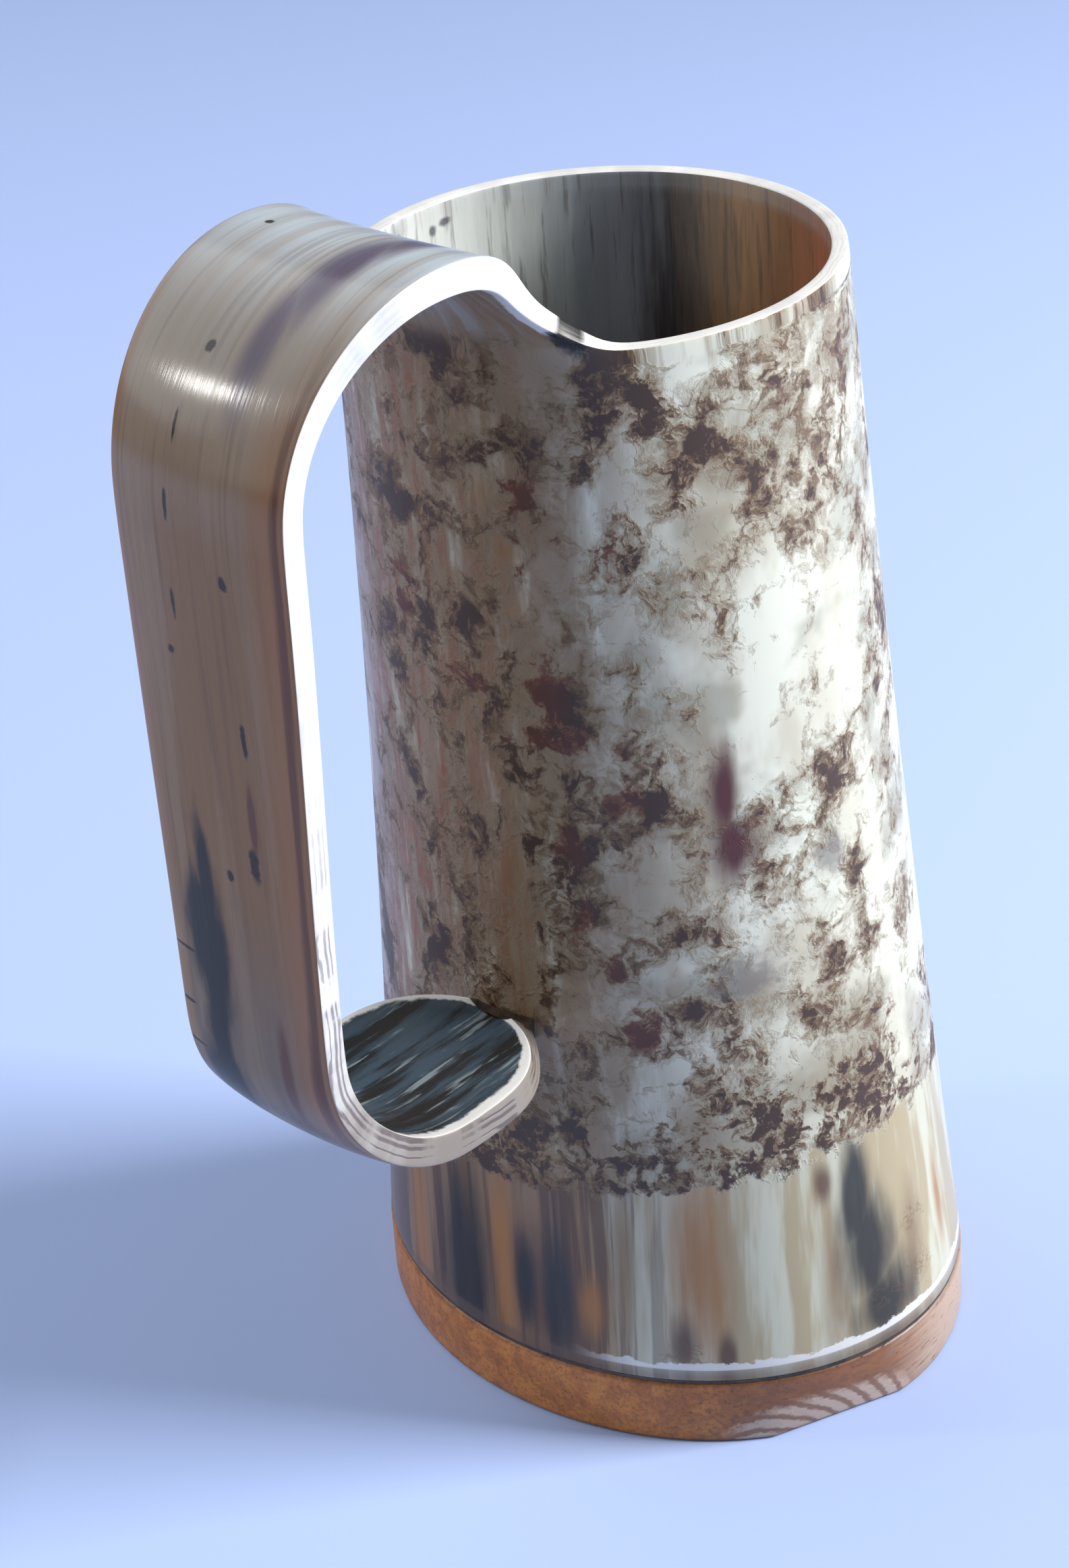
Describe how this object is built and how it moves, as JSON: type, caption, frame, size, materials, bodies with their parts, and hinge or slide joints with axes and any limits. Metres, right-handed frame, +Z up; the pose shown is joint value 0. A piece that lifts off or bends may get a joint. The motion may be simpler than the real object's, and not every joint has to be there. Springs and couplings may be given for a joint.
{
  "type": "horn drinking mug",
  "caption": "Tall tapered drinking mug of polished horn, with a wide strap handle bent over from its own rim and a carved wooden foot.",
  "frame": {"origin": "middle of the wooden foot's underside, on the table", "axes": "+Z up along the mug, the strap handle points along -X, +Y to the side"},
  "size_m": [0.1232, 0.092, 0.1855],
  "materials": {
    "horn": "polished cattle horn",
    "wood": "oiled and varnished",
    "resin": "dark resin glue"
  },
  "bodies": {
    "root": {"horn_cup": "horn", "wooden_foot": "wood", "foot_bond": "resin", "tab_bond": "resin"}
  },
  "joints": []
}
